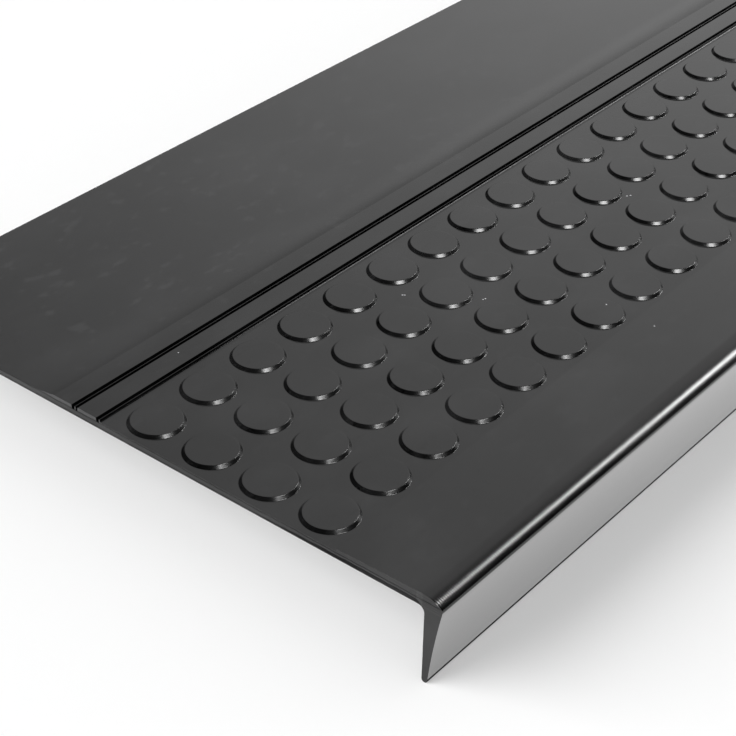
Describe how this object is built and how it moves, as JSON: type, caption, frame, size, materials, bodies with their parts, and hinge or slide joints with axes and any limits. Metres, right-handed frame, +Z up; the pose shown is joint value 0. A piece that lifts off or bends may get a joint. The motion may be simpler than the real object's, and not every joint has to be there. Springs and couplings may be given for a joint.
{
  "type": "rubber stair mat",
  "caption": "Moulded rubber stair mat with a field of round studs, a thin smooth back panel behind fine grooves, and a rounded nose whose lip hangs over the step's edge.",
  "frame": {"origin": "on the flat underside, at the middle of the mat's length and of its depth from nose to back edge", "axes": "+X along the mat's length, +Y from the nose to the back edge, +Z up out of the studded face"},
  "size_m": [0.9144, 0.3164, 0.0421],
  "materials": {
    "rubber": "matt black moulded rubber with a soft sheen"
  },
  "bodies": {
    "root": {"stair_tread": "rubber"}
  },
  "joints": []
}
